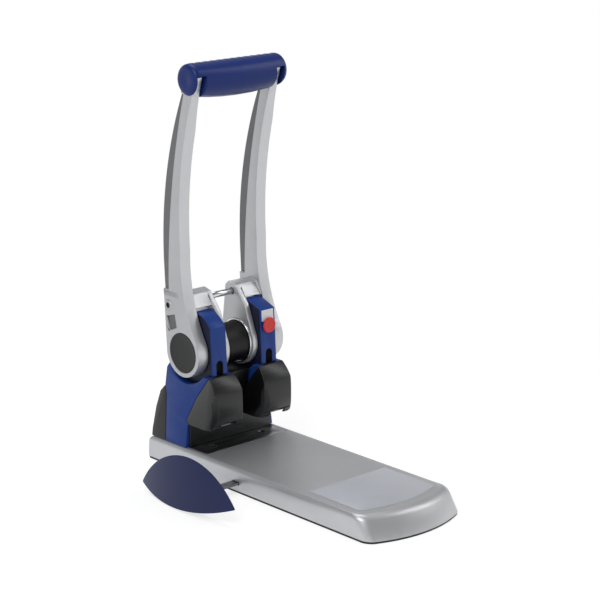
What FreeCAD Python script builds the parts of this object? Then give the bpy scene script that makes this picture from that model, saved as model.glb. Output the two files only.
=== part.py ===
import FreeCAD, Part
import math
import os

import Sketcher
from FreeCAD import Placement, Rotation, Vector

os.makedirs("parts", exist_ok=True)

# Heavy two-hole punch with a long lever. Millimetres, X to the right, Y to the back, Z up.
# The origin is on the floor, midway between the two punch pins.

SIZES = {
    # Running gaps, walls and the one overrun that every cut uses
    "air": 0.3,
    "slip": 0.05,
    "wall": 2.5,
    "thin_wall": 1.7,
    "overrun": 5,
    # Where the work is done
    "pin_spacing": 80,
    "pin_margin": 12,
    "pin_radius": 3,
    "table_height": 29.5,
    "throat": 32,
    # Lever pivot
    "hub_back": 21.5,
    "hub_height": 150,
    "shaft_radius": 10,
    "ring_radius": 30.8,
    "hub_disc_radius": 25.1,
    # Base
    "base_half": 76,
    "base_front": 316.5,
    "base_back": 84,
    "base_wall": 3,
    "corner_radius": 18,
    "corner_across": 12,
    "corner_along": 18.5,
    "bow_radius": 158.5,
    "front_lean": 16.5,
    "side_lean": 1,
    "base_edge_radius": 6,
    "mat_thick": 2.7,
    "mat_inset": 0.8,
    "plate_thick": 2,
    "window_margin": 9.7,
    "window_front": 20,
    "window_back": 62,
    "panel_margin": 15,
    "panel_front_margin": 30.5,
    "panel_long": 86,
    "panel_corner": 8,
    "panel_thick": 0.5,
    # Bed, dies and back stop
    "slab_thick": 4.5,
    "die_plate_thick": 3.5,
    "bed_leg": 8,
    "die_radius": 6,
    "die_gap": 0.1,
    "back_stop_thick": 3,
    "back_stop_rise": 28.5,
    "screw_radius": 2,
    "screw_head_radius": 3.8,
    "screw_length": 10,
    "screw_front": 10,
    "screw_back": 52,
    # Heads: the tower covers, the caps and the covers between the lever's plates
    "tower_half": 60,
    "tower_depth": 64.7,
    "shoulder_drop": 26.2,
    "saddle_back": 54,
    "saddle_drop": 2.8,
    "saddle_front": 6.5,
    "saddle_radius": 41.5,
    "centre_half": 20.5,
    "centre_gap": 1.7,
    "cap_reach": 35,
    "cap_drop": 2,
    "cap_front_half": 19,
    "cap_side_half": 29,
    "cap_side_front": 6,
    "cap_fold_radius": 45,
    "cap_upper_radius": 50,
    "cap_lower_radius": 38,
    "cap_slot_half": 12,
    "cap_slot_height": 6.5,
    "cap_slot_depth": 17.5,
    "link_half": 12.3,
    "link_front": 36.7,
    "link_fold": 33,
    "left_fold_height": 33.4,
    "left_top_height": 50.5,
    "left_top_radius": 44,
    "right_fold_height": 43,
    "right_top_height": 53.5,
    "notch_half": 5,
    "notch_height": 13,
    "label_half": 9.5,
    "label_thick": 0.3,
    "label_bottom": 28,
    "label_top": 42,
    # Steel inside each head
    "ram_half": 5,
    "ram_gap": 0.3,
    "cheek_thick": 3.5,
    "cheek_front": 12,
    "cheek_jaw": 68,
    "cheek_post_front": 19.5,
    "cheek_post_back": 50,
    "cheek_step": 10,
    "stripper_half": 16,
    "stripper_front": 24,
    "stripper_back": 14,
    "guide_drop": 19.8,
    "guide_tall": 20,
    "guide_slip": 0.1,
    "spacer_radius": 4,
    # Pinion and rack
    "tooth_module": 2,
    "gear_half": 4.8,
    "ram_front": 8.5,
    "ram_rise": 37,
    "ram_slope": 4.5,
    "foot_drop": 47,
    "foot_tall": 14,
    "foot_back": 8,
    "pin_lift": 0.5,
    "pin_seat": 8,
    # Lever
    "arm_length": 338,
    "arm_near": 53.2,
    "arm_far": 69.2,
    "arm_back_radius": 467.4,
    "arm_front_radius": 473,
    "arm_neck_radius": 196.6,
    "recess_radius": 898,
    "recess_depth": 2.5,
    "taper_start": 275,
    "taper_cut": 10.2,
    "inner_plate_near": 19,
    "inner_plate_far": 26.8,
    "bridge_radius": 55,
    "hub_cap_thick": 4,
    "hub_cap_sink": 0.5,
    "hub_ring_out": 2,
    "hub_ring_radius": 28,
    "tube_wall": 3,
    "boss_radius": 6.5,
    "boss_out": 1.5,
    "boss_screw_radius": 3.4,
    "boss_screw_length": 8,
    "boss_screw_sink": 0.2,
    "cross_rod_radius": 4,
    "cross_rod_back": 10.5,
    "cross_rod_up": 61,
    "cross_rod_seat": 7,
    # Grip
    "grip_forward": 18.5,
    "grip_end_radius": 19.5,
    "grip_half": 72.5,
    "grip_nose": 6.5,
    "grip_belly": 2.8,
    "slot_trim": 3.6,
    "grip_rod_radius": 4,
    "grip_rod_half": 70,
    # Lock button
    "button_radius": 9.8,
    "button_thick": 2,
    "button_travel": 1.5,
    "button_height": 22.8,
    "button_stem_radius": 4,
    "button_stem": 4.2,
    # Sliding side stop
    "stop_plane": 148.8,
    "stop_back": 84,
    "stop_half_length": 85.5,
    "stop_rear_height": 9.7,
    "stop_front_height": 21,
    "stop_arch_radius": 101.3,
    "stop_keel_radius": 276,
    "stop_bulge": 19.2,
    "stop_ball_radius": 294,
    "stop_ball_back": 87.6,
    "stop_ball_drop": 38.6,
    "bar_half": 6,
    "bar_low": 11,
    "bar_thick": 3,
    "bar_end": 30,
    "flange_half": 16,
    "flange_thick": 2,
    "flange_rise": 20,
    "bar_guide_half": 14,
    "bar_slip": 0.2,
    "bar_guide_long": 20,
    "bar_guide_cap": 3,
    "bar_guide_margin": 6,
    "bar_guide_second": 10,
    # Chip tray
    "tray_margin": 2,
    "tray_front": 14,
    "tray_height": 15.5,
    "tray_wall": 1.5,
    "tray_lip": 6,
    "tray_lip_half": 20,
}

# Outline points, as shares of the sizes named beside them
# Seam between a cap and its tower: shares of cap_reach back, and of the head's height up
SEAM_SHARES = ((0.534, 0.055), (0.097, 0.55), (-0.483, 1.0))
# Front of a cap, from the top down: the same two sizes
CAP_FRONT_SHARES = ((-0.514, 0.998), (-1.0, 0.37), (-0.743, 0.0))
# Rear of a tower from the saddle down: shares of tower_depth back, and of tower_rise up
TOWER_BACK_SHARES = ((0.907, 1.06), (0.991, 0.98), (1.0, 0.73), (0.937, 0.625), (0.844, 0.0))
# Rear cover, from its top down: the same two sizes
REAR_COVER_SHARES = ((1.0, 0.727), (1.13, 0.635), (1.219, 0.408), (1.274, 0.111), (1.274, 0.0))
# Back of a link cover: shares of link_front back, and of link_fold up, from the hub
LINK_BACK_SHARES = ((0.504, 1.27), (0.886, 0.45), (0.93, -0.75))
LINK_TOP_SHARE = 0.13
# Rounded top edge of the base: how far up the rounding each outline lies
EDGE_RISE_SHARES = (0, 0.5, 0.82, 0.96, 1)
# Beam of an arm: shares of arm_length back and up from the hub
ARM_BACK_KNEE_SHARES = (0.107, 0.296)
ARM_TIP_SHARES = ((-0.0494, 1.0296), (-0.103, 1.012))
ARM_FRONT_KNEE_SHARES = (0.003, 0.37)
RECESS_SHARES = ((0.0746, 0.2249), (0.2, 0.2249), (0.2, 0.8), (0.03, 0.96), (-0.0266, 0.9467))
LOW_RECESS_SHARES = ((0.0323, 0.0888), (0.0735, 0.0713), (0.0905, 0.122), (0.0423, 0.1358))
GRIP_SLOT_SHARES = ((-0.1376, 0.9172), (0.008, 0.9172), (-0.04, 1.034), (-0.0932, 1.034), (-0.108, 1.0163),
                    (-0.1376, 1.0163))
# Stations along half the grip: shares of grip_half out, of grip_nose in, and of grip_belly
GRIP_STATIONS = ((0, 0, 1), (0.3, 0, 0.9), (0.55, 0, 0.67), (0.75, 0, 0.38), (0.91, 0, 0.1), (0.945, 0.12, 0),
                 (0.975, 0.4, 0), (1, 1, 0))
# Bridge over the link cover: shares of bridge_radius back and up from the hub
BRIDGE_FOOT_SHARES = ((-0.127, 0.992), (0.409, 0.9125))
BRIDGE_TOP_SHARES = ((0.409, 1.236), (0.3, 1.327), (0.064, 1.273))
BRIDGE_NECK_SHARE = (-0.267, 0.851)
BOSS_SHARES = (0.464, 1.018)
# Cheek plates: shares of hub_height up for the places where the front and the top turn
CHEEK_TURN_SHARES = (0.84, 1.173, 1.26, 1.213, 0.933)
CHEEK_BACK_SHARES = (-0.79, 1.008)
SPACER_SHARES = ((0.86, 0.4), (0.9, 0.86))

# Gear constants, which no length changes
TEETH = 21
PRESSURE_ANGLE = math.radians(20)
RACK_SPACES = 9
RACK_BELOW = 2
TOOTH_SLACK_SHARE = 0.05
FLANK_SHARES = (0.85, 0.94, 0.97, 1.0, 1.04, 1.085)
ROOT_SHARE = 0.88
ROOT_DEPTH = 1.25
SPACE_MOUTH = 1.5
LEAN_SHARE = 0.125
RING_START = math.radians(30)
QUARTER = 90

SIDES = (("left", -1), ("right", 1))

doc = FreeCAD.newDocument("LeverPunch")
sheet = doc.addObject("Spreadsheet::Sheet", "Sizes")


class Size:
    """A length: its number now, and the expression that binds it to the sheet."""

    def __init__(self, number, text):
        self.number = number
        self.text = text

    def __add__(self, other):
        return Size(self.number + other.number, f"({self.text} + {other.text})")

    def __sub__(self, other):
        return Size(self.number - other.number, f"({self.text} - {other.text})")

    def __mul__(self, times):
        return Size(self.number * times, f"({self.text} * {times:.9f})")

    def __truediv__(self, parts):
        return self * (1 / parts)

    def __neg__(self):
        return Size(-self.number, f"(0 - {self.text})")


class Sizes:
    """The sheet's cells, one attribute each."""


def fill_sheet():
    sizes = Sizes()
    for row, (alias, number) in enumerate(SIZES.items(), 1):
        sheet.set(f"A{row}", alias)
        sheet.set(f"B{row}", str(number))
        sheet.setAlias(f"B{row}", alias)
        setattr(sizes, alias, Size(number, "Sizes." + alias))
    doc.recompute()
    return sizes


s = fill_sheet()
NONE = Size(0, "0")
nodes = []


# Helpers that make and bind the document's objects

def bind(thing, sizes):
    for path, size in sizes.items():
        thing.setExpression(path, size.text)


def keep(thing, label):
    """Makes a finished object one of the nodes."""
    thing.Label = label
    nodes.append(thing)
    return thing


def arc_between(start, stop, radius):
    """An arc from start to stop, counter-clockwise where the radius is positive."""
    chord = stop - start
    half = chord.Length / 2
    rise = math.sqrt(max(radius * radius - half * half, 0))
    left = Vector(-chord.y, chord.x, 0).normalize()
    turn = 1 if radius > 0 else -1
    centre = (start + stop) / 2 + left * rise * turn
    circle = Part.Circle(centre, Vector(0, 0, 1), abs(radius))
    first = math.atan2(start.y - centre.y, start.x - centre.x)
    last = math.atan2(stop.y - centre.y, stop.x - centre.x)
    if turn > 0:
        return Part.ArcOfCircle(circle, first, last), 1, 2
    return Part.ArcOfCircle(circle, last, first), 2, 1


def draw_round(sketch, centre, radius):
    """A full circle with a bound centre and radius."""
    spot = Vector(centre[0].number, centre[1].number, 0)
    index = sketch.addGeometry(Part.Circle(spot, Vector(0, 0, 1), radius.number), False)
    numbers = sketch.addConstraint([
        Sketcher.Constraint("DistanceX", index, 3, centre[0].number),
        Sketcher.Constraint("DistanceY", index, 3, centre[1].number),
        Sketcher.Constraint("Radius", index, radius.number),
    ])
    for number, size in zip(numbers, (centre[0], centre[1], radius)):
        sketch.setExpression(f"Constraints[{number}]", size.text)


def draw_chain(sketch, corners, rounds):
    """A closed outline through the corners. rounds[i] is the radius of the stretch after corner i."""
    count = len(corners)
    first = sketch.GeometryCount
    spots = [Vector(u.number, v.number, 0) for u, v in corners]
    stretches = []
    ends = []
    for i in range(count):
        start = spots[i]
        stop = spots[(i + 1) % count]
        if i in rounds:
            stretch, head, tail = arc_between(start, stop, rounds[i].number)
        else:
            stretch, head, tail = Part.LineSegment(start, stop), 1, 2
        stretches.append(stretch)
        ends.append((head, tail))
    sketch.addGeometry(stretches, False)
    links = []
    for i in range(count):
        following = (i + 1) % count
        join = (first + i, ends[i][1], first + following, ends[following][0])
        links.append(Sketcher.Constraint("Coincident", *join))
    sketch.addConstraint(links)
    held = []
    bound = []
    for i, (u, v) in enumerate(corners):
        held.append(Sketcher.Constraint("DistanceX", first + i, ends[i][0], u.number))
        held.append(Sketcher.Constraint("DistanceY", first + i, ends[i][0], v.number))
        bound += [u, v]
    for i, radius in rounds.items():
        size = radius if radius.number > 0 else -radius
        held.append(Sketcher.Constraint("Radius", first + i, size.number))
        bound.append(size)
    for number, size in zip(sketch.addConstraint(held), bound):
        sketch.setExpression(f"Constraints[{number}]", size.text)


def outline(corners, rounds=None):
    return ("chain", corners, rounds or {})


def circle(u, v, radius):
    return ("round", (u, v), radius)


def rectangle(low_u, low_v, high_u, high_v):
    return outline([(low_u, low_v), (high_u, low_v), (high_u, high_v), (low_u, high_v)])


def new_body(name):
    return doc.addObject("PartDesign::Body", name)


def new_sketch(body, plane, offset, shapes, across=NONE, up=NONE):
    """A sketch parallel to one of the body's origin planes."""
    sketch = body.newObject("Sketcher::SketchObject", body.Name + "_sketch")
    support = [item for item in body.Origin.OriginFeatures if item.Role == plane]
    sketch.AttachmentSupport = [(support[0], "")]
    sketch.MapMode = "FlatFace"
    bind(sketch, {
        "AttachmentOffset.Base.x": across,
        "AttachmentOffset.Base.y": up,
        "AttachmentOffset.Base.z": offset,
    })
    for kind, first, second in shapes:
        if kind == "chain":
            draw_chain(sketch, first, second)
        else:
            draw_round(sketch, first, second)
    return sketch


def along(body, kind, plane, low, high, shapes):
    """A pad or a pocket between two places along the plane's normal. The XZ plane's normal is -Y."""
    offset = -high if plane == "XZ_Plane" else low
    sketch = new_sketch(body, plane, offset, shapes)
    feature = body.newObject("PartDesign::" + kind, f"{body.Name}_{kind}")
    feature.Profile = sketch
    feature.Reversed = kind == "Pocket"
    bind(feature, {"Length": high - low})
    return feature


def pad(body, plane, low, high, *shapes):
    return along(body, "Pad", plane, low, high, shapes)


def cut(body, plane, low, high, *shapes):
    return along(body, "Pocket", plane, low, high, shapes)


def prism(name, plane, low, high, *shapes):
    body = new_body(name)
    pad(body, plane, low, high, *shapes)
    return body


def box(name, low, high):
    """A block between two corners."""
    block = doc.addObject("Part::Box", name)
    bind(block, {
        "Length": high[0] - low[0],
        "Width": high[1] - low[1],
        "Height": high[2] - low[2],
        "Placement.Base.x": low[0],
        "Placement.Base.y": low[1],
        "Placement.Base.z": low[2],
    })
    return block


TURNS = {
    "x": Rotation(Vector(0, 1, 0), QUARTER),
    "y": Rotation(Vector(1, 0, 0), -QUARTER),
    "z": Rotation(),
}


def rod(name, axis, start, length, radius):
    """A cylinder that runs from start in the positive direction of an axis."""
    cylinder = doc.addObject("Part::Cylinder", name)
    cylinder.Placement = Placement(Vector(), TURNS[axis])
    bind(cylinder, {
        "Radius": radius,
        "Height": length,
        "Placement.Base.x": start[0],
        "Placement.Base.y": start[1],
        "Placement.Base.z": start[2],
    })
    return cylinder


def fuse(name, *things):
    result = doc.addObject("Part::MultiFuse", name)
    result.Shapes = list(things)
    return result


def common(name, *things):
    result = doc.addObject("Part::MultiCommon", name)
    result.Shapes = list(things)
    return result


def less(name, base, *tools):
    result = doc.addObject("Part::Cut", name)
    result.Base = base
    result.Tool = tools[0] if len(tools) == 1 else fuse(name + "_tools", *tools)
    return result


def group(name, *things):
    result = doc.addObject("Part::Compound", name)
    result.Links = list(things)
    return result


def inset(corners, walls):
    """Moves each side of a counter-clockwise outline in by its own wall, or out where that is negative."""
    count = len(corners)
    inward = []
    for i in range(count):
        along_u = corners[(i + 1) % count][0].number - corners[i][0].number
        along_v = corners[(i + 1) % count][1].number - corners[i][1].number
        run = math.hypot(along_u, along_v)
        inward.append((-along_v / run, along_u / run))
    moved = []
    for i, (u, v) in enumerate(corners):
        before = inward[i - 1]
        after = inward[i]
        cross = before[0] * after[1] - before[1] * after[0]
        step_before = (after[1] / cross, -after[0] / cross)
        step_after = (-before[1] / cross, before[0] / cross)
        moved.append((
            u + walls[i - 1] * step_before[0] + walls[i] * step_after[0],
            v + walls[i - 1] * step_before[1] + walls[i] * step_after[1],
        ))
    return moved


def span(side, near, far):
    """The same stretch on the left or the right of the middle, low end first."""
    return (near, far) if side > 0 else (-far, -near)


def from_hub(share, size):
    """A place that is given by shares of one size, back and up from the hub."""
    return (s.hub_back + size * share[0], s.hub_height + size * share[1])


def head_middle(side):
    return s.pin_spacing * (side / 2)


# Places that several pieces share
table = s.table_height
throat_top = s.table_height + s.throat
head_bottom = throat_top - s.cap_drop
shoulder = s.hub_height - s.shoulder_drop
head_rise = shoulder - head_bottom
tower_rise = shoulder - table
saddle_start = (-s.saddle_front, shoulder)
saddle_end = (s.saddle_back, shoulder - s.saddle_drop)
plate_top = s.mat_thick + s.plate_thick
slab_top = table - s.die_plate_thick
slab_low = slab_top - s.slab_thick
window_half = s.base_half - s.window_margin
bed_half = window_half - s.air
tray_half = bed_half - s.bed_leg - s.tray_margin
cheek_near = s.ram_half + s.ram_gap
cheek_far = cheek_near + s.cheek_thick
link_inner = s.link_half - s.thin_wall
pitch_radius = s.tooth_module * (TEETH / 2)
seam = [(s.cap_reach * back, head_bottom + head_rise * up) for back, up in SEAM_SHARES]
tower_foot = s.pin_margin + s.back_stop_thick


def leaning_half(height):
    """Half the width of the towers at a height: they widen towards the table."""
    return s.tower_half + (shoulder - height) * LEAN_SHARE


# Base

def base_outline(side, front, back, radius_change):
    """Plan of the base: straight back and sides, round front corners and a bowed front."""
    near = front - s.corner_along
    corners = [
        (side, back),
        (-side, back),
        (-side, -near),
        (s.corner_across - side, -front),
        (side - s.corner_across, -front),
        (side, -near),
    ]
    corner = s.corner_radius - radius_change
    return outline(corners, {2: corner, 3: s.bow_radius - radius_change, 4: corner})


def base_loft(body, kind, low, high, wall, levels):
    """A solid through plan outlines at several levels: each is (share of the height, drop, inset)."""
    sections = []
    for share, drop, inset_by in levels:
        height = low + (high - low) * share - drop
        lean = (height.number - s.mat_thick.number) / (table.number - s.mat_thick.number)
        tight = wall + inset_by
        shape = base_outline(
            s.base_half - s.side_lean * lean - tight,
            s.base_front - s.front_lean * lean - tight,
            s.base_back - tight,
            tight)
        sections.append(new_sketch(body, "XY_Plane", height, [shape]))
    loft = body.newObject("PartDesign::" + kind, f"{body.Name}_{kind}")
    loft.Profile = sections[0]
    loft.Sections = sections[1:]
    loft.Ruled = True
    return loft


def make_base_cover():
    """Cast aluminium shell, open below, with a window for the dies and the towers."""
    body = new_body("base_cover_body")
    edge = s.base_edge_radius
    rounding = [(1, edge * (1 - rise), edge * (1 - math.sqrt(1 - rise * rise))) for rise in EDGE_RISE_SHARES]
    base_loft(body, "AdditiveLoft", s.mat_thick, table, NONE, [(0, NONE, NONE)] + rounding)
    base_loft(body, "SubtractiveLoft", s.mat_thick, table - s.base_wall, s.base_wall,
              [(0, NONE, NONE), (1, NONE, s.base_wall)])
    cut(body, "XY_Plane", table - s.base_wall - s.overrun, table + s.overrun,
        rectangle(-window_half, -s.window_front, window_half, s.window_back))
    gap = s.air
    cut(body, "YZ_Plane", -s.base_half - s.overrun, -s.base_half + s.base_wall + s.overrun,
        rectangle(-s.stop_back - s.bar_half - gap, s.bar_low - gap,
                  s.bar_half + gap - s.stop_back, s.bar_low + s.bar_thick + gap))
    tray_side = tray_half + gap
    cut(body, "XZ_Plane", s.base_back - s.base_wall - s.overrun, s.base_back + s.overrun,
        rectangle(-tray_side, plate_top, tray_side, plate_top + s.tray_height + gap + gap))
    keep(body, "base_cover")


def make_floor():
    """Rubber mat under a steel plate that closes the shell."""
    low = s.mat_inset
    mat = prism("mat_body", "XY_Plane", NONE, s.mat_thick,
                base_outline(s.base_half - low, s.base_front - low, s.base_back - low, low))
    keep(mat, "base_mat")
    inner = s.base_wall + s.side_lean
    drop = s.base_wall + s.air + s.front_lean * (s.plate_thick.number / (table - s.mat_thick).number)
    body = prism("plate_body", "XY_Plane", s.mat_thick, plate_top,
                 base_outline(s.base_half - inner, s.base_front - drop, s.base_back - inner, inner))
    cut(body, "XY_Plane", s.mat_thick - s.overrun, plate_top + s.overrun,
        *[circle(x, y, s.screw_head_radius) for x, y in screw_places()])
    keep(body, "base_plate")


def screw_places():
    middle = bed_half - s.bed_leg / 2
    return [(middle * k, y) for k in (-1, 1) for y in (-s.screw_front, s.screw_back)]


def make_bed():
    """Steel bed: a slab on two legs, the die plate, the dies and the back stop."""
    half = bed_half
    front = s.air - s.window_front
    back = s.window_back - s.air
    body = prism("bed_body", "XY_Plane", slab_low, slab_top, rectangle(-half, front, half, back))
    for side in (-1, 1):
        near, far = span(side, half - s.bed_leg, half)
        pad(body, "XY_Plane", plate_top, slab_low, rectangle(near, front, far, back))
    holes = [circle(head_middle(side), NONE, s.die_radius) for _, side in SIDES]
    cut(body, "XY_Plane", slab_low - s.overrun, slab_top + s.overrun, *holes)
    cut(body, "XY_Plane", plate_top, plate_top + s.screw_length,
        *[circle(x, y, s.screw_radius) for x, y in screw_places()])
    keep(body, "bed_casting")
    dies = prism("die_plate_body", "XY_Plane", slab_top, table,
                 rectangle(-half, front, half, s.cheek_post_front - s.air), *holes)
    keep(dies, "die_plate")
    bore = s.pin_radius + s.die_gap
    bushes = [
        prism(name + "_die", "XY_Plane", slab_low, table,
              circle(head_middle(side), NONE, s.die_radius), circle(head_middle(side), NONE, bore))
        for name, side in SIDES
    ]
    keep(group("dies", *bushes), "die_bushes")
    stop = box("stop_strip", (-half, s.pin_margin, table),
               (half, tower_foot, table + s.back_stop_rise))
    keep(stop, "back_stop")
    screws = []
    for x, y in screw_places():
        head = rod("screw_head", "z", (x, y, s.mat_thick), s.plate_thick, s.screw_head_radius - s.slip)
        shank = rod("screw_shank", "z", (x, y, s.mat_thick), s.plate_thick + s.screw_length - s.air,
                    s.screw_radius)
        screws.append(fuse("base_screw", head, shank))
    keep(group("screws", *screws), "base_screws")


def make_panel():
    """Thin plate let in on top of the base's front."""
    half = s.base_half - s.panel_margin
    front = s.panel_front_margin - s.base_front
    corners = [
        (half, front + s.panel_long),
        (-half, front + s.panel_long),
        (-half, front + s.panel_corner),
        (s.panel_corner - half, front),
        (half - s.panel_corner, front),
        (half, front + s.panel_corner),
    ]
    rounds = {2: s.panel_corner, 3: s.bow_radius, 4: s.panel_corner}
    body = prism("panel_body", "XY_Plane", table, table + s.panel_thick, outline(corners, rounds))
    keep(body, "panel_plate")


# Towers, caps and covers

def tower_points(share):
    return (s.tower_depth * share[0], table + tower_rise * share[1])


def tower_side(side, near, walls):
    """Front view of a tower: upright inside, leaning outside. Runs counter-clockwise on the right."""
    low = table
    high = s.hub_height
    corners = [(near, low), (leaning_half(low), low), (leaning_half(high), high), (near, high)]
    if walls:
        corners = inset(corners, walls)
    return outline([(u * side, v) for u, v in corners])


def make_tower(name, side):
    """Moulded cover of one head: side walls, back, top with the saddle, and a low front wall."""
    back = [tower_points(share) for share in TOWER_BACK_SHARES]
    corners = [saddle_start, seam[2], seam[1], seam[0], (tower_foot, throat_top), (tower_foot, table)]
    corners += back[::-1] + [saddle_end]
    rounds = {len(corners) - 1: -s.saddle_radius}
    walls = [s.wall, -s.overrun, -s.overrun, -s.overrun, s.wall, -s.overrun] + [s.wall] * len(back) + [s.wall]
    inner = inset(corners, walls)
    inner_rounds = {len(corners) - 1: -s.saddle_radius - s.wall}
    near = s.centre_half + s.air
    low, high = span(side, near - s.overrun, s.base_half + s.overrun)
    back_end = s.base_back + s.overrun
    outer = common(name + "_tower_outer",
                   prism(name + "_tower_long", "YZ_Plane", low, high, outline(corners, rounds)),
                   prism(name + "_tower_wide", "XZ_Plane", -s.cap_reach, back_end,
                         tower_side(side, near, None)))
    hollow = common(name + "_tower_hollow",
                    prism(name + "_tower_long_in", "YZ_Plane", low, high, outline(inner, inner_rounds)),
                    prism(name + "_tower_wide_in", "XZ_Plane", -s.cap_reach - s.overrun, back_end,
                          tower_side(side, near, [-s.overrun, s.wall, -s.overrun, s.wall])))
    middle = head_middle(side)
    window = box(name + "_tower_window", (middle - link_inner, -s.cap_reach, throat_top),
                 (middle + link_inner, s.cheek_post_back + s.air, s.hub_height))
    keep(less(name + "_tower", outer, hollow, window), name + "_tower_cover")


def make_cap(name, side):
    """Moulded cap over the front of one head: it flares to both sides and is open below and behind."""
    front = [(s.cap_reach * back, head_bottom + head_rise * up) for back, up in CAP_FRONT_SHARES]
    behind = tower_foot - s.air
    corners = front + [(behind, head_bottom), (behind, throat_top)] + seam
    walls = [s.wall] * 2 + [-s.overrun] * 5 + [s.wall]
    long_in = inset(corners, walls)
    rounds = {0: s.cap_upper_radius, 1: s.cap_lower_radius}
    rounds_in = {0: s.cap_upper_radius - s.wall, 1: s.cap_lower_radius - s.wall}
    middle = head_middle(side)
    spread = s.tower_half - s.pin_spacing / 2

    def wide(wall, run):
        low = head_bottom - run
        high = shoulder + run
        low_half = spread + (shoulder - low) * LEAN_SHARE - wall
        high_half = spread + (shoulder - high) * LEAN_SHARE - wall
        return outline([(middle - low_half, low), (middle + low_half, low),
                        (middle + high_half, high), (middle - high_half, high)])

    def plan(wall, run):
        front_half = s.cap_front_half - wall
        side_half = s.cap_side_half - wall
        reach = wall - s.cap_reach - s.slip
        points = [(middle - front_half, reach), (middle + front_half, reach),
                  (middle + side_half, -s.cap_side_front), (middle + side_half, s.tower_depth + run),
                  (middle - side_half, s.tower_depth + run), (middle - side_half, -s.cap_side_front)]
        return outline(points, {1: s.cap_fold_radius, 5: s.cap_fold_radius})

    low = middle - s.cap_side_half - s.overrun
    high = middle + s.cap_side_half + s.overrun
    bottom = head_bottom - s.overrun
    top = shoulder + s.overrun
    before = -s.cap_reach - s.overrun
    outer = common(name + "_cap_outer",
                   prism(name + "_cap_long", "YZ_Plane", low, high, outline(corners, rounds)),
                   prism(name + "_cap_wide", "XZ_Plane", before, s.tower_depth, wide(NONE, NONE)),
                   prism(name + "_cap_plan", "XY_Plane", bottom, top, plan(NONE, NONE)))
    hollow = common(name + "_cap_hollow",
                    prism(name + "_cap_long_in", "YZ_Plane", low, high, outline(long_in, rounds_in)),
                    prism(name + "_cap_wide_in", "XZ_Plane", before, s.tower_depth, wide(s.wall, s.overrun)),
                    prism(name + "_cap_plan_in", "XY_Plane", bottom - s.overrun, top,
                          plan(s.wall, s.overrun)))
    slot = box(name + "_cap_slot", (middle - s.cap_slot_half, before, bottom),
               (middle + s.cap_slot_half, s.cap_slot_depth - s.cap_reach, head_bottom + s.cap_slot_height))
    keep(less(name + "_cap_cut", outer, hollow, slot), name + "_cap")


def link_corners(name):
    """Side view of the cover between the lever's two plates, counter-clockwise from its lower front."""
    fold = getattr(s, name + "_fold_height")
    peak = getattr(s, name + "_top_height")
    back = [(s.hub_back + s.link_front * u, s.hub_height + s.link_fold * v) for u, v in LINK_BACK_SHARES]
    return [
        (s.hub_back - s.link_front, shoulder),
        saddle_start,
        saddle_end,
        back[2],
        back[1],
        back[0],
        (s.hub_back - s.link_front * LINK_TOP_SHARE, s.hub_height + peak),
        (s.hub_back - s.link_fold, s.hub_height + fold),
    ]


def make_link_cover(name, side):
    """Narrow moulded cover that stands between the lever's plates and hides the rack and the pinion."""
    corners = link_corners(name)
    below = -s.saddle_radius / 2
    walls = [below, below, -s.overrun] + [s.thin_wall] * 5
    inner = inset(corners, walls)
    middle = head_middle(side)
    rounds = {1: s.saddle_radius}
    if name == "left":
        rounds[6] = s.left_top_radius
    long = prism(name + "_link_long", "YZ_Plane", middle - s.link_half, middle + s.link_half,
                 outline(corners, rounds))
    hollow = prism(name + "_link_long_in", "YZ_Plane", middle - link_inner, middle + link_inner,
                   outline(inner))
    shaft = rod(name + "_link_hole", "x", (middle - s.link_half - s.overrun, s.hub_back, s.hub_height),
                (s.link_half + s.overrun) * 2, s.shaft_radius + s.air * 2)
    notch_top = shoulder + s.notch_height
    notch = box(name + "_notch", (middle - s.notch_half, -s.cap_reach, throat_top),
                (middle + s.notch_half, s.thin_wall - s.ram_front, notch_top))
    bow = rod(name + "_notch_top", "y", (middle, -s.cap_reach, notch_top),
              s.cap_reach + s.thin_wall - s.ram_front, s.notch_half)
    tools = [hollow, shaft, notch, bow]
    if name == "right":
        tools.append(rod("button_hole", "y", (middle, -s.cap_reach, s.hub_height + s.button_height),
                         s.cap_reach - s.ram_front, s.button_stem_radius + s.air))
    keep(less(name + "_link", long, *tools), name + "_link_cover")


def front_face(height):
    """Where the right cover's leaning front face lies at a height over the hub."""
    low = shoulder - s.hub_height
    part = (height.number - low.number) / (s.right_fold_height.number - low.number)
    return s.hub_back - s.link_front + (s.link_front - s.link_fold) * part


def make_label():
    """Bare label on the leaning front face of the right cover, over the button."""
    low = (front_face(s.label_bottom), s.hub_height + s.label_bottom)
    high = (front_face(s.label_top), s.hub_height + s.label_top)
    corners = [low, high, (high[0] - s.label_thick, high[1]), (low[0] - s.label_thick, low[1])]
    middle = head_middle(1)
    body = prism("label_body", "YZ_Plane", middle - s.label_half, middle + s.label_half, outline(corners))
    keep(body, "lock_label")


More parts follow.
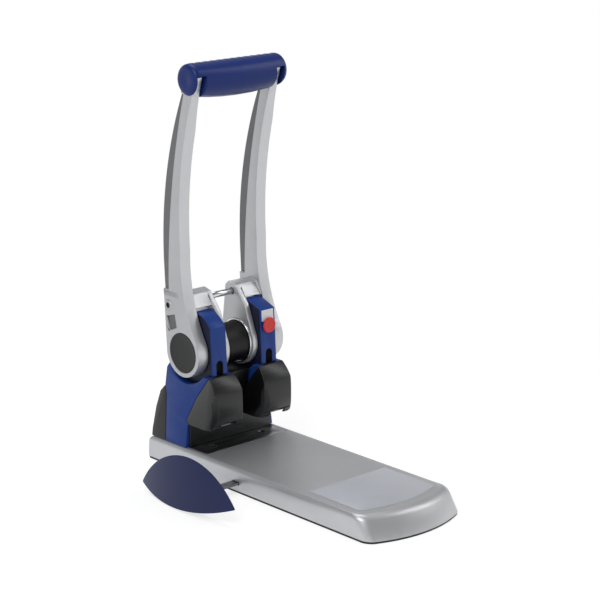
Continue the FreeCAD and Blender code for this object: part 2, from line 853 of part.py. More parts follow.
def make_middle_covers():
    """Dark housing between the towers, and the dark cover that closes the back."""
    back = [tower_points(share) for share in TOWER_BACK_SHARES[3:]]
    top = s.hub_height - s.ring_radius - s.centre_gap
    corners = [seam[1], seam[0], (tower_foot, throat_top), (tower_foot, table), back[1], back[0],
               (back[0][0], top), (NONE, top)]
    walls = [s.wall, s.wall, s.wall, -s.overrun, s.wall, s.wall, s.wall, s.wall]
    outer = prism("centre_outer", "YZ_Plane", -s.centre_half, s.centre_half, outline(corners))
    hollow = prism("centre_hollow", "YZ_Plane", s.wall - s.centre_half, s.centre_half - s.wall,
                   outline(inset(corners, walls)))
    keep(less("centre", outer, hollow), "central_cover")
    rear = [tower_points(share) for share in REAR_COVER_SHARES]
    corners = [(u + s.air, v) for u, v in back] + rear[::-1]
    walls = [-s.overrun, -s.overrun, s.wall, s.wall, s.wall, s.wall, -s.overrun]
    low = table
    high = shoulder
    face = [(-leaning_half(low), low), (leaning_half(low), low), (leaning_half(high), high),
            (-leaning_half(high), high)]
    outer = common("rear_outer",
                   prism("rear_long", "YZ_Plane", -s.base_half, s.base_half, outline(corners)),
                   prism("rear_wide", "XZ_Plane", NONE, s.base_back + s.overrun, outline(face)))
    hollow = common("rear_hollow",
                    prism("rear_long_in", "YZ_Plane", -s.base_half, s.base_half,
                          outline(inset(corners, walls))),
                    prism("rear_wide_in", "XZ_Plane", NONE, s.base_back + s.overrun,
                          outline(inset(face, [-s.overrun, s.wall, -s.overrun, s.wall]))))
    keep(less("rear", outer, hollow), "rear_cover")


# Steel in the heads

def make_head_steel(name, side):
    """Two C-shaped cheek plates with bushes, the ram guide between them and the stripper below."""
    middle = head_middle(side)
    turns = [s.hub_height * share for share in CHEEK_TURN_SHARES]
    backs = [s.cheek_front * share for share in CHEEK_BACK_SHARES]
    corners = [
        (s.cheek_post_front, slab_top),
        (s.cheek_post_back, slab_top),
        (s.cheek_post_back, turns[4]),
        (s.cheek_post_back - s.cheek_step, turns[3]),
        (backs[1], turns[2]),
        (backs[0], turns[1]),
        (backs[0], s.hub_height),
        (-s.cheek_front, turns[0]),
        (-s.cheek_front, s.cheek_jaw),
        (s.cheek_post_front, s.cheek_jaw),
    ]
    hub = circle(s.hub_back, s.hub_height, s.shaft_radius + s.cheek_thick)
    spacers = [(s.cheek_post_back * u, s.hub_height * v) for u, v in SPACER_SHARES]
    holes = [circle(u, v, s.spacer_radius) for u, v in spacers]
    cheeks = []
    bushes = []
    for near, far in (span(-1, cheek_near, cheek_far), span(1, cheek_near, cheek_far)):
        cheeks.append(prism(name + "_cheek", "YZ_Plane", middle + near, middle + far,
                            outline(corners), hub, *holes))
        bushes.append(prism(name + "_bush", "YZ_Plane", middle + near, middle + far, hub,
                            circle(s.hub_back, s.hub_height, s.shaft_radius + s.slip)))
    keep(group(name + "_cheeks", *cheeks), name + "_head_plates")
    keep(group(name + "_bushes", *bushes), name + "_hub_bushes")
    pins = [rod(name + "_spacer", "x", (middle - cheek_far, u, v), cheek_far * 2, s.spacer_radius)
            for u, v in spacers]
    keep(group(name + "_spacers", *pins), name + "_spacer_bolts")
    guide_low = shoulder - s.guide_drop
    guide = box(name + "_guide", (middle - cheek_near, -s.cheek_front, guide_low),
                (middle + cheek_near, -s.ram_front - s.guide_slip, guide_low + s.guide_tall))
    keep(guide, name + "_ram_guide")
    stripper = prism(name + "_stripper_body", "XY_Plane", throat_top, s.cheek_jaw,
                     rectangle(middle - s.stripper_half, -s.stripper_front,
                               middle + s.stripper_half, s.stripper_back),
                     circle(middle, NONE, s.pin_radius + s.die_gap))
    keep(stripper, name + "_stripper")


def make_ram(name, side):
    """Steel ram: a foot that carries the punch pin, and a rack that the pinion drives."""
    middle = head_middle(side)
    tip_line = s.hub_back - pitch_radius + s.tooth_module
    foot_low = s.hub_height - s.foot_drop
    foot_top = foot_low + s.foot_tall
    ram_top = s.hub_height + s.ram_rise
    low = middle - s.ram_half
    high = middle + s.ram_half
    corners = [
        (-s.ram_front, foot_low),
        (s.foot_back, foot_low),
        (s.foot_back, foot_top),
        (tip_line, foot_top),
        (tip_line, ram_top),
        (-s.ram_front, ram_top - s.ram_slope),
    ]
    body = prism(name + "_ram_body", "YZ_Plane", low, high, outline(corners))
    seat_top = foot_low + s.pin_seat
    cut(body, "XY_Plane", foot_low - s.overrun, seat_top, circle(middle, NONE, s.pin_radius))
    cut(body, "XZ_Plane", -s.ram_front - s.overrun, -s.pin_radius,
        circle(middle, foot_low + s.pin_seat / 2, s.screw_radius))
    slope = math.tan(PRESSURE_ANGLE)
    module = s.tooth_module
    half = module * (math.pi / 4 + TOOTH_SLACK_SHARE)
    root_half = half - module * (ROOT_DEPTH * slope)
    mouth_half = half + module * (SPACE_MOUTH * slope)
    pitch_line = s.hub_back - pitch_radius
    pitch = module * math.pi
    start = s.hub_height - pitch * RACK_BELOW
    space = cut(body, "YZ_Plane", low - s.overrun, high + s.overrun, outline([
        (pitch_line - module * ROOT_DEPTH, start - root_half),
        (pitch_line + module * SPACE_MOUTH, start - mouth_half),
        (pitch_line + module * SPACE_MOUTH, start + mouth_half),
        (pitch_line - module * ROOT_DEPTH, start + root_half),
    ]))
    doc.recompute()
    rack = body.newObject("PartDesign::LinearPattern", name + "_rack")
    rack.Originals = [space]
    rack.Direction = (space.Profile[0], ["V_Axis"])
    rack.Occurrences = RACK_SPACES
    bind(rack, {"Length": pitch * (RACK_SPACES - 1)})
    body.Tip = rack
    keep(body, name + "_ram")
    tip = throat_top + s.pin_lift
    keep(rod(name + "_pin", "z", (middle, NONE, tip), seat_top - tip, s.pin_radius), name + "_punch_pin")
    screw = rod(name + "_grub", "y", (middle, -s.ram_front, foot_low + s.pin_seat / 2),
                s.ram_front - s.pin_radius, s.screw_radius)
    keep(screw, name + "_pin_screw")


def tooth_points():
    """Half of an involute tooth that points up, as distances from the hub and half angles."""
    base = math.cos(PRESSURE_ANGLE)
    points = []
    for share in FLANK_SHARES:
        angle = math.acos(min(base / share, 1))
        gain = math.tan(PRESSURE_ANGLE) - PRESSURE_ANGLE - math.tan(angle) + angle
        half = math.pi / (2 * TEETH) + gain - TOOTH_SLACK_SHARE / (TEETH / 2)
        points.append((pitch_radius * (share * math.sin(half)), pitch_radius * (share * math.cos(half))))
    return points


def make_pinion(name, side):
    """Steel pinion, one tooth pointing straight at the rack."""
    middle = head_middle(side)
    body = new_body(name + "_pinion_body")
    low = middle - s.gear_half
    high = middle + s.gear_half
    root = circle(NONE, NONE, pitch_radius * ROOT_SHARE)
    bore = circle(NONE, NONE, s.shaft_radius)
    hub = new_sketch(body, "YZ_Plane", low, [root, bore], s.hub_back, s.hub_height)
    disc = body.newObject("PartDesign::Pad", "disc")
    disc.Profile = hub
    bind(disc, {"Length": high - low})
    flank = tooth_points()
    corners = [(-v, u) for u, v in flank] + [(-v, -u) for u, v in flank[::-1]]
    sketch = new_sketch(body, "YZ_Plane", low, [outline(corners)], s.hub_back, s.hub_height)
    tooth = body.newObject("PartDesign::Pad", "tooth")
    tooth.Profile = sketch
    bind(tooth, {"Length": high - low})
    doc.recompute()
    teeth = body.newObject("PartDesign::PolarPattern", "teeth")
    teeth.Originals = [tooth]
    teeth.Axis = (sketch, ["N_Axis"])
    teeth.Angle = 4 * QUARTER
    teeth.Occurrences = TEETH
    body.Tip = teeth
    keep(body, name + "_pinion")


# Lever

def ring_points():
    """Front, bottom and back of the ring round the hub."""
    front = (s.hub_back - s.ring_radius * math.cos(RING_START),
             s.hub_height + s.ring_radius * math.sin(RING_START))
    return front, (s.hub_back, s.hub_height - s.ring_radius), (s.hub_back + s.ring_radius, s.hub_height)


def make_arm(name, side):
    """One aluminium casting: ringed outer plate and beam, bridge over the link cover, ringed inner plate."""
    ring_front, ring_bottom, ring_back = ring_points()
    length = s.arm_length
    beam = [
        ring_back,
        from_hub(ARM_BACK_KNEE_SHARES, length),
        from_hub(ARM_TIP_SHARES[0], length),
        from_hub(ARM_TIP_SHARES[1], length),
        from_hub(ARM_FRONT_KNEE_SHARES, length),
        ring_front,
        ring_bottom,
    ]
    beam_rounds = {
        1: s.arm_back_radius,
        3: -s.arm_front_radius,
        4: -s.arm_neck_radius,
        5: s.ring_radius,
        6: s.ring_radius,
    }
    shaft = circle(s.hub_back, s.hub_height, s.shaft_radius)
    body = prism(name + "_arm_body", "YZ_Plane", *span(side, s.arm_near, s.arm_far),
                 outline(beam, beam_rounds), shaft)
    foot = [from_hub(share, s.bridge_radius) for share in BRIDGE_FOOT_SHARES]
    top = [from_hub(share, s.bridge_radius) for share in BRIDGE_TOP_SHARES]
    pad(body, "YZ_Plane", *span(side, s.inner_plate_near, s.arm_near + s.air),
        outline(foot + top, {0: -s.bridge_radius}))
    neck = from_hub(BRIDGE_NECK_SHARE, s.bridge_radius)
    inner_plate = [ring_back] + top + [neck, ring_front, ring_bottom]
    pad(body, "YZ_Plane", *span(side, s.inner_plate_near, s.inner_plate_far),
        outline(inner_plate, {5: s.ring_radius, 6: s.ring_radius}), shaft)
    recess = [from_hub(share, length) for share in RECESS_SHARES]
    rear_part = outline(recess, {4: -s.recess_radius})
    cut(body, "YZ_Plane", *span(side, s.arm_far - s.recess_depth, s.arm_far + s.overrun), rear_part)
    cut(body, "YZ_Plane", *span(side, s.arm_near - s.overrun, s.arm_near + s.recess_depth), rear_part)
    cut(body, "YZ_Plane", *span(side, s.arm_far - s.recess_depth, s.arm_far + s.overrun),
        outline([from_hub(share, length) for share in LOW_RECESS_SHARES]))
    _, right_face = span(side, s.arm_near, s.arm_far)
    low = s.hub_height + s.taper_start
    top = s.hub_height + length + s.ring_radius
    cut(body, "XZ_Plane", -s.base_back, s.base_back, outline([
        (right_face, low), (right_face + s.overrun, low), (right_face + s.overrun, top),
        (right_face - s.taper_cut, top)]))
    boss = from_hub(BOSS_SHARES, s.bridge_radius)
    pad(body, "YZ_Plane", *span(side, s.arm_far - s.recess_depth, s.arm_far + s.boss_out),
        circle(*boss, s.boss_radius))
    cap_depth = s.hub_cap_thick + s.hub_cap_sink
    cut(body, "YZ_Plane", *span(side, s.arm_far - cap_depth, s.arm_far + s.overrun),
        circle(s.hub_back, s.hub_height, s.hub_disc_radius))
    cut(body, "YZ_Plane", *span(side, s.arm_far + s.boss_out - s.boss_screw_length, s.arm_far + s.overrun),
        circle(*boss, s.boss_screw_radius))
    rod_place = (s.hub_back + s.cross_rod_back, s.hub_height + s.cross_rod_up)
    cut(body, "YZ_Plane", *span(side, s.inner_plate_near - s.overrun, s.inner_plate_near + s.cross_rod_seat),
        circle(*rod_place, s.cross_rod_radius))
    grip = grip_place()
    cut(body, "YZ_Plane", *span(side, s.arm_near - s.overrun, s.arm_far + s.overrun),
        circle(*grip, s.grip_rod_radius))
    keep(body, name + "_arm")
    cap_low, _ = span(side, s.arm_far - cap_depth, s.arm_far - s.hub_cap_sink)
    keep(rod(name + "_disc", "x", (cap_low, s.hub_back, s.hub_height), s.hub_cap_thick, s.hub_disc_radius),
         name + "_hub_cap")
    ring_low, ring_high = span(side, s.inner_plate_near - s.hub_ring_out, s.inner_plate_near)
    keep(prism(name + "_ring_body", "YZ_Plane", ring_low, ring_high,
               circle(s.hub_back, s.hub_height, s.hub_ring_radius),
               circle(s.hub_back, s.hub_height, s.hub_disc_radius)), name + "_hub_ring")
    return boss


def grip_place():
    return (s.hub_back - s.grip_forward, s.hub_height + s.arm_length)


def make_lever_core(bosses):
    """What joins the two arms: shaft, dark tube, cross rod, grip with its rod, and the boss screws."""
    shaft_half = s.arm_far - s.hub_cap_thick - s.hub_cap_sink
    shaft = rod("shaft", "x", (-shaft_half, s.hub_back, s.hub_height), shaft_half * 2, s.shaft_radius)
    keep(shaft, "pinion_shaft")
    tube_half = s.inner_plate_near
    keep(prism("tube_body", "YZ_Plane", -tube_half, tube_half,
               circle(s.hub_back, s.hub_height, s.hub_disc_radius - s.slip),
               circle(s.hub_back, s.hub_height, s.hub_disc_radius - s.tube_wall)), "hub_tube")
    rod_half = s.inner_plate_near + s.cross_rod_seat
    keep(rod("cross", "x", (-rod_half, s.hub_back + s.cross_rod_back, s.hub_height + s.cross_rod_up),
             rod_half * 2, s.cross_rod_radius), "cross_rod")
    screws = []
    for side, boss in bosses:
        low, _ = span(side, s.arm_far + s.boss_out - s.boss_screw_length, s.arm_far + s.boss_out)
        screws.append(rod("boss_screw", "x", (low, boss[0], boss[1]), s.boss_screw_length - s.boss_screw_sink,
                          s.boss_screw_radius))
    keep(group("boss_screws", *screws), "arm_screws")
    grip = grip_place()
    body = new_body("grip_body")
    stations = [(-out, nose, belly) for out, nose, belly in GRIP_STATIONS[:0:-1]] + list(GRIP_STATIONS)
    rings = []
    for out, nose, belly in stations:
        swell = s.grip_belly * belly
        ring = circle(grip[0], grip[1] - swell, s.grip_end_radius + swell - s.grip_nose * nose)
        rings.append(new_sketch(body, "YZ_Plane", s.grip_half * out, [ring]))
    loft = body.newObject("PartDesign::AdditiveLoft", "grip_loft")
    loft.Profile = rings[0]
    loft.Sections = rings[1:]
    loft.Ruled = True
    slot = outline([from_hub(share, s.arm_length) for share in GRIP_SLOT_SHARES])
    for side in (-1, 1):
        low, high = span(side, s.arm_near - s.air, s.arm_far + s.air)
        cut(body, "YZ_Plane", low, high - s.slot_trim, slot)
    cut(body, "YZ_Plane", -s.grip_rod_half, s.grip_rod_half, circle(*grip, s.grip_rod_radius))
    keep(body, "handle_grip")
    keep(rod("grip_tie", "x", (-s.grip_rod_half, *grip), s.grip_rod_half * 2, s.grip_rod_radius), "grip_rod")


# Lock button, side stop and chip tray

def make_button():
    """Round red button on a stem through the right cover's front face."""
    middle = head_middle(1)
    height = s.hub_height + s.button_height
    lowest = front_face(s.button_height - s.button_radius)
    back = lowest - s.air - s.button_travel
    head = rod("button_head", "y", (middle, back - s.button_thick, height), s.button_thick, s.button_radius)
    stem = rod("button_stem", "y", (middle, back, height), s.button_stem, s.button_stem_radius)
    keep(fuse("button", head, stem), "lock_button")


def make_side_stop():
    """Side stop like half an almond, on a flat steel bar that slides into the base."""
    almond = outline([(-s.stop_back - s.stop_half_length, s.stop_front_height),
                      (s.stop_half_length - s.stop_back, s.stop_rear_height)],
                     {0: s.stop_keel_radius, 1: s.stop_arch_radius})
    ball = doc.addObject("Part::Sphere", "stop_ball")
    bind(ball, {
        "Radius": s.stop_ball_radius,
        "Placement.Base.x": s.stop_ball_radius - s.stop_plane - s.stop_bulge,
        "Placement.Base.y": -s.stop_ball_back,
        "Placement.Base.z": -s.stop_ball_drop,
    })
    shell = common("stop_shell", ball, prism("stop_prism", "YZ_Plane", -s.stop_plane - s.stop_bulge,
                                             -s.stop_plane, almond))
    bar_top = s.bar_low + s.bar_thick
    screw_height = bar_top + (s.flange_rise - s.bar_thick) / 2
    places = [(y, screw_height) for y in (-s.stop_back - s.flange_half / 2, s.flange_half / 2 - s.stop_back)]
    holes = [rod("stop_hole", "x", (-s.stop_plane - s.screw_length, y, z), s.screw_length + s.overrun,
                 s.screw_radius) for y, z in places]
    keep(less("stop", shell, *holes), "side_stop")
    flange_back = s.flange_thick - s.stop_plane
    bar = prism("bar_body", "XY_Plane", s.bar_low, bar_top,
                rectangle(-s.stop_plane, -s.stop_back - s.bar_half, s.bar_end, s.bar_half - s.stop_back))
    pad(bar, "XY_Plane", s.bar_low, s.bar_low + s.flange_rise,
        rectangle(-s.stop_plane, -s.stop_back - s.flange_half, flange_back, s.flange_half - s.stop_back))
    cut(bar, "YZ_Plane", -s.stop_plane - s.overrun, flange_back + s.overrun,
        *[circle(y, z, s.screw_radius) for y, z in places])
    keep(bar, "guide_bar")
    screws = []
    for y, z in places:
        shank = rod("stop_shank", "x", (-s.stop_plane - s.screw_length, y, z),
                    s.screw_length + s.flange_thick, s.screw_radius)
        head = rod("stop_head", "x", (flange_back, y, z), s.flange_thick, s.screw_head_radius)
        screws.append(fuse("stop_screw", shank, head))
    keep(group("stop_screw_group", *screws), "stop_screws")
    gap = s.bar_slip
    guides = []
    for start in (s.bar_guide_margin - s.base_half, -s.bar_guide_second):
        block = box("guide_block", (start, -s.stop_back - s.bar_guide_half, plate_top),
                    (start + s.bar_guide_long, s.bar_guide_half - s.stop_back, bar_top + s.bar_guide_cap))
        way = box("guide_way", (start - s.overrun, -s.stop_back - s.bar_half - gap, s.bar_low - gap),
                  (start + s.bar_guide_long + s.overrun, s.bar_half + gap - s.stop_back, bar_top + gap))
        guides.append(less("bar_guide", block, way))
    keep(group("bar_guide_group", *guides), "bar_guides")


def make_tray():
    """Drawer that catches the chips under the dies and pulls out at the back."""
    low = plate_top + s.air
    high = low + s.tray_height
    outer = box("tray_block", (-tray_half, -s.tray_front, low), (tray_half, s.base_back, high))
    inner = box("tray_hollow", (s.tray_wall - tray_half, s.tray_wall - s.tray_front, low + s.tray_wall),
                (tray_half - s.tray_wall, s.base_back - s.tray_wall * 2, high + s.overrun))
    lip = box("tray_pull", (-s.tray_lip_half, s.base_back - s.tray_wall, low),
              (s.tray_lip_half, s.base_back + s.tray_lip, low + s.tray_wall * 2))
    keep(fuse("tray", less("tray_open", outer, inner), lip), "chip_tray")


def build():
    make_floor()
    make_base_cover()
    make_panel()
    make_bed()
    for name, side in SIDES:
        make_tower(name, side)
        make_cap(name, side)
        make_link_cover(name, side)
        make_head_steel(name, side)
        make_ram(name, side)
        make_pinion(name, side)
    make_label()
    make_middle_covers()
    bosses = [(side, make_arm(name, side)) for name, side in SIDES]
    make_lever_core(bosses)
    make_button()
    make_side_stop()
    make_tray()
    doc.recompute()


def check():
    """Stops where an object failed, a node has no valid solid, or a pocket took nothing away."""
    faults = [f"{thing.Name} is {thing.State}" for thing in doc.Objects
              if "Invalid" in thing.State or "Error" in thing.State]
    if not faults:
        faults += [f"{node.Label} has no valid solid" for node in nodes
                   if node.Shape.isNull() or not node.Shape.isValid() or not node.Shape.Solids]
        faults += [f"{thing.Name} cuts nothing" for thing in doc.Objects
                   if thing.TypeId == "PartDesign::Pocket"
                   and thing.Shape.Volume >= thing.BaseFeature.Shape.Volume]
    if faults:
        raise RuntimeError("; ".join(faults))


def export():
    for node in nodes:
        node.Shape.exportStep(f"parts/{node.Label}.step")
        box_size = node.Shape.BoundBox
        print(f"{node.Label}: {len(node.Shape.Solids)} solids, {node.Shape.Volume:.0f} mm3, "
              f"X {box_size.XMin:.1f} {box_size.XMax:.1f} Y {box_size.YMin:.1f} {box_size.YMax:.1f} "
              f"Z {box_size.ZMin:.1f} {box_size.ZMax:.1f}")
    print(len(nodes), "nodes")


build()
check()
export()
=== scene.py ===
import math

import bmesh
import bpy
import numpy as np
from mathutils import Matrix, Vector


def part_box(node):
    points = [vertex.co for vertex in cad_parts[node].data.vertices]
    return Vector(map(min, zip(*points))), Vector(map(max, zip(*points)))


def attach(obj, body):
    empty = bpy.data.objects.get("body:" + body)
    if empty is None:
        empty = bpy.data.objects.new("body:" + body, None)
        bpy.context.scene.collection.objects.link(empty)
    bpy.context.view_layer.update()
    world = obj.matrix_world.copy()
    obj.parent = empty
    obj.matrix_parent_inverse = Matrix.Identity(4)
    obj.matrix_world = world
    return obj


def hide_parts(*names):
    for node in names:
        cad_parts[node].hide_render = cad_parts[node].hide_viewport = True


# Looks of a heavy two-hole lever punch, piece by piece in the order that it is put together.
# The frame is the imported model: metres, X to the right, Y to the back, Z up, origin between the pins.
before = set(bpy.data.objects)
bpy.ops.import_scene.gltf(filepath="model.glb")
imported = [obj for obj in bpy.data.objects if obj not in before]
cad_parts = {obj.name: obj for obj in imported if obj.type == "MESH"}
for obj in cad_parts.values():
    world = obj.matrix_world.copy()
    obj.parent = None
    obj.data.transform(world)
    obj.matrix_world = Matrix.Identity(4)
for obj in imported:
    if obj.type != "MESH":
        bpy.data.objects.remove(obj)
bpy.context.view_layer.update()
MM = 0.001


# Rubber mat: a moulded black sheet glued under the steel floor, the only piece that meets the desk.
# It gives a flat, faintly rough black rim under the casting.

def linear(code):
    """Turns a #rrggbb colour into the four linear numbers that a shader takes."""
    parts = [int(code[i:i + 2], 16) / 255 for i in (1, 3, 5)]
    return [p / 12.92 if p <= 0.04045 else ((p + 0.055) / 1.055) ** 2.4 for p in parts] + [1.0]


def add(tree, kind, inputs=None, **settings):
    """Adds a shader node with its own settings, and gives each named socket a value or a link."""
    node = tree.nodes.new("ShaderNode" + kind)
    for name, value in settings.items():
        setattr(node, name, value)
    for name, value in (inputs or {}).items():
        if isinstance(value, bpy.types.NodeSocket):
            tree.links.new(value, node.inputs[name])
        else:
            node.inputs[name].default_value = value
    return node


def finish(name, colour, roughness, metallic=0.0, grain=0.5, relief=0.02, patch=25.0, tone=0.05,
           spread=0.05, stretch=(1, 1, 1), gloss=0.5):
    """A surface with two noises on its object's own coordinates. The fine one, grain mm across, lifts
    it by relief mm and varies its roughness by spread; the broad one, patch mm across, shifts its tone.
    Real paint flakes and spark grain are under 0.1 mm: they are drawn near 0.5 mm, so that they show."""
    material = bpy.data.materials.new(name)
    material.use_nodes = True
    tree = material.node_tree
    tree.nodes.clear()
    place = add(tree, "TexCoord").outputs["Object"]
    drawn = add(tree, "Mapping", {"Vector": place, "Scale": stretch}).outputs["Vector"]
    fine = add(tree, "TexNoise", {"Vector": drawn, "Scale": 1 / (grain * MM), "Detail": 3.0})
    broad = add(tree, "TexNoise", {"Vector": place, "Scale": 1 / (patch * MM), "Detail": 4.0})
    middle = linear(colour)
    low = [c * (1 - tone) for c in middle[:3]] + [1.0]
    high = [min(c * (1 + tone), 1.0) for c in middle[:3]] + [1.0]
    mixed = add(tree, "ValToRGB", {"Fac": broad.outputs["Fac"]})
    for stop, place_on_ramp, shade in zip(mixed.color_ramp.elements, (0.3, 0.7), (low, high)):
        stop.position = place_on_ramp
        stop.color = shade
    rough = add(tree, "MapRange", {"Value": fine.outputs["Fac"], "To Min": max(roughness - spread, 0.02),
                                   "To Max": min(roughness + spread, 1.0)})
    lift = add(tree, "Bump", {"Height": fine.outputs["Fac"], "Distance": relief * MM, "Strength": 1.0})
    shader = add(tree, "BsdfPrincipled", {
        "Base Color": mixed.outputs["Color"], "Roughness": rough.outputs["Result"], "Metallic": metallic,
        "Specular IOR Level": gloss, "Normal": lift.outputs["Normal"]})
    add(tree, "OutputMaterial", {"Surface": shader.outputs["BSDF"]})
    return material


def put(obj, body, materials, replaced=()):
    """Adds a finished piece to its body, with its finishes and the nodes that it stands for."""
    if obj.name not in bpy.context.scene.collection.objects:
        bpy.context.scene.collection.objects.link(obj)
    for material in materials:
        obj.data.materials.append(material)
    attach(obj, body)
    if replaced:
        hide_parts(*replaced)
    return obj


def soften(obj, edge):
    """Rounds every edge of a piece that turns by more than 30 degrees to `edge` mm."""
    bevel = obj.modifiers.new("edges", "BEVEL")
    bevel.width = edge * MM
    bevel.segments = 3
    bevel.limit_method = "ANGLE"
    bevel.angle_limit = math.radians(30)
    bevel.use_clamp_overlap = False
    bevel.loop_slide = False
    bevel.harden_normals = True
    return obj


SAME_PLACE = 0.002 * MM  # points closer than this are one point


def rounded(node, name, edge, body, materials, slices=()):
    """A copy of a CAD node, merged into whole faces and then sliced across the named axes every so many
    mm, so that no face is long and hollow, with its edges rounded to `edge` mm."""
    mesh = bpy.data.meshes.new(name)
    shape = bmesh.new()
    shape.from_mesh(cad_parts[node].data)
    bmesh.ops.remove_doubles(shape, verts=shape.verts, dist=SAME_PLACE)
    bmesh.ops.dissolve_limit(shape, angle_limit=math.radians(0.5), verts=shape.verts, edges=shape.edges)
    low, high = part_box(node)
    for axis, pitch in slices:
        index = "xyz".index(axis)
        normal = Vector([float(i == index) for i in range(3)])
        for place in np.arange(low[index] + 0.37 * pitch * MM, high[index], pitch * MM):
            bmesh.ops.bisect_plane(shape, geom=shape.verts[:] + shape.edges[:] + shape.faces[:],
                                   plane_co=normal * float(place), plane_no=normal, dist=1e-7)
    shape.to_mesh(mesh)
    shape.free()
    mesh.shade_smooth()
    return soften(put(bpy.data.objects.new(name, mesh), body, materials, [node]), edge)


mat_rubber = finish("moulded_black_rubber", "#131415", 0.72, grain=0.6, relief=0.05, tone=0.12)
rounded("base_mat", "mat", 0.7, "base", [mat_rubber])


# Steel floor: a zinc-plated sheet inside the casting. Ground sheet steel shows fine straight marks,
# which here run across the punch, and a broad grey shine.

def dress(node, material):
    """Gives a CAD node that keeps its own mesh a finish."""
    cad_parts[node].data.materials.clear()
    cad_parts[node].data.materials.append(material)


ground_steel = finish("ground_sheet_steel", "#8C8E91", 0.34, metallic=1.0, grain=1.1, relief=0.012,
                      stretch=(0.08, 1, 1), tone=0.05)
dress("base_plate", ground_steel)


# Base cover: a sand-cast aluminium shell, ground smooth and sprayed with satin silver paint.
# The paint's flakes give a fine sparkle and a broad soft highlight along the rounded top edge.

silver_paint = finish("satin_silver_paint", "#C6C7CA", 0.4, metallic=0.7, grain=0.45, relief=0.012,
                      patch=45, tone=0.03, spread=0.07)
rounded("base_cover", "base_casting", 0.8, "base", [silver_paint])


# Panel: a thin anodised sheet with bare satin film, let in on top of the front of the base. Its edge
# is a bright cut line.

panel_film = finish("satin_film", "#C6C9D1", 0.42, metallic=0.45, grain=0.35, relief=0.006, tone=0.02)
rounded("panel_plate", "panel", 0.22, "base", [panel_film])


# Bed and dies: an iron casting in dark paint, a hardened die plate and two ground bushes that the
# pins enter. Each bush is a ring with a bevelled mouth.

def lathe(name, centre, axis, profile, body, material, replaced=(), around=72, hexed=(), edge=0.0):
    """A profile of (r, h) in mm carried once round an axis: place = centre + r (cos t u + sin t v) + h axis.
    Rows in `hexed` have the radius of a six-sided hole, r cos 30 / cos(t mod 60 - 30). A first or last row
    of r = 0 closes to a point, and a profile that ends where it began closes on itself."""
    along = np.eye(3)["xyz".index(axis)]
    across = np.roll(along, 1)
    up = np.cross(along, across)
    rows = np.array(profile, float)
    turn = np.arange(around) * 2 * np.pi / around
    radius = np.repeat(rows[:, :1], around, axis=1)
    six = np.cos(np.pi / 6) / np.cos(np.mod(turn, np.pi / 3) - np.pi / 6)
    for row in hexed:
        radius[row] = radius[row] * six
    flat = radius[..., None] * (np.cos(turn)[:, None] * across + np.sin(turn)[:, None] * up)
    points = np.array(centre, float) + flat + rows[:, 1][:, None, None] * along
    return skin(name, points * MM, body, material, replaced, edge)


def skin(name, points, body, material, replaced=(), edge=0.0):
    """The surface over a grid of points, joined across its columns from last to first: one face for each
    four neighbours. Doubled points are merged, which closes poles and seams, and faces turned outwards."""
    rows, columns = points.shape[:2]
    index = np.arange(rows * columns).reshape(rows, columns)
    following = np.roll(index, -1, axis=1)
    faces = np.stack([index[:-1], following[:-1], following[1:], index[1:]], axis=-1).reshape(-1, 4)
    mesh = bpy.data.meshes.new(name)
    mesh.from_pydata(points.reshape(-1, 3).tolist(), [], faces.tolist())
    shape = bmesh.new()
    shape.from_mesh(mesh)
    bmesh.ops.remove_doubles(shape, verts=shape.verts, dist=SAME_PLACE)
    bmesh.ops.holes_fill(shape, edges=[e for e in shape.edges if e.is_boundary], sides=0)
    bmesh.ops.recalc_face_normals(shape, faces=shape.faces)
    shape.to_mesh(mesh)
    shape.free()
    mesh.shade_smooth()
    obj = put(bpy.data.objects.new(name, mesh), body, [material], replaced)
    if edge:
        soften(obj, edge)
    return obj


# Ground and hardened steel gives a clear grey mirror; iron in thick paint is dark, dull and uneven.
hard_steel = finish("hardened_ground_steel", "#9A9B9E", 0.24, metallic=1.0, grain=0.4, relief=0.004)
cast_iron = finish("painted_cast_iron", "#303235", 0.6, metallic=0.2, grain=1.2, relief=0.08)
dress("bed_casting", cast_iron)
rounded("die_plate", "die_sheet", 0.3, "base", [ground_steel])
DIE_TOP, DIE_TALL, DIE_RADIUS, DIE_BORE = 29.5, 8, 6, 3.1
for side, middle in (("left", -40), ("right", 40)):
    lathe(f"{side}_die", (middle, 0, DIE_TOP - DIE_TALL), "z",
          [(DIE_BORE, 0), (DIE_RADIUS, 0), (DIE_RADIUS, DIE_TALL), (DIE_BORE + 0.7, DIE_TALL),
           (DIE_BORE, DIE_TALL - 0.7), (DIE_BORE, 0)],
          "base", hard_steel, ["die_bushes"] if side == "left" else (), edge=0.12)


# Base screws: four plated pan heads under the floor, with a six-sided socket each. Only their heads
# show, from below.

# Bright zinc plate mirrors the room almost whole.
bright_steel = finish("bright_plated_steel", "#D9DADD", 0.14, metallic=1.0, grain=0.5, relief=0.002)
FLOOR_HEAD, FLOOR_SHANK = 3.75, 2.0
for number, (across, along) in enumerate(((-62, -10), (62, -10), (-62, 52), (62, 52)), 1):
    lathe(f"floor_screw_{number}", (across, along, 2.7), "z",
          [(0, 1.3), (2.0, 1.3), (2.0, 0), (FLOOR_HEAD - 0.4, 0), (FLOOR_HEAD, 0.4), (FLOOR_HEAD, 2.0),
           (FLOOR_SHANK, 2.0), (FLOOR_SHANK, 11.4), (0, 11.7)],
          "base", bright_steel, ["base_screws"] if number == 1 else (),
          around=48, hexed=(1, 2))


# Heads: cheek plates, guides, rams with their racks, pins and pinions. The plates are stamped, the racks
# cut and hardened, the bushes turned from bronze, and the guides blackened.

